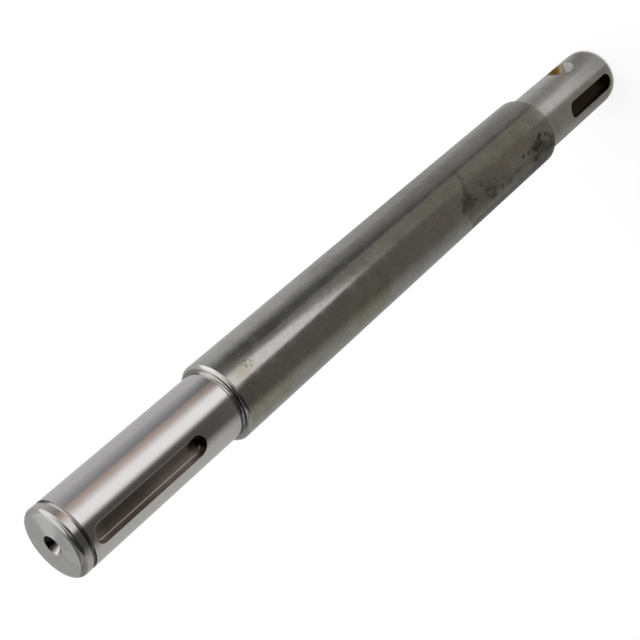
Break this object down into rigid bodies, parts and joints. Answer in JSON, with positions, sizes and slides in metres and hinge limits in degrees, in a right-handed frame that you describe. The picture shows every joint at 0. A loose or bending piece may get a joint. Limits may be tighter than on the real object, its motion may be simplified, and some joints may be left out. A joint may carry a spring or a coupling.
{
  "type": "drive shaft",
  "caption": "Stepped steel drive shaft with a thick middle, a ground journal at each end, key seats in line, a retaining ring groove and a drilled seat for a locking screw.",
  "frame": {"origin": "centre of the lower end face, on which the shaft stands", "axes": "+Z along the shaft's axis towards the end with the ring groove, +X out of the key seats, +Y out of the screw seat"},
  "size_m": [0.035, 0.035, 0.39],
  "materials": {
    "shaft_steel": "ground journals, darker oiled middle with stains, milled key seats"
  },
  "bodies": {
    "root": {"drive_shaft": "shaft_steel"}
  },
  "joints": []
}
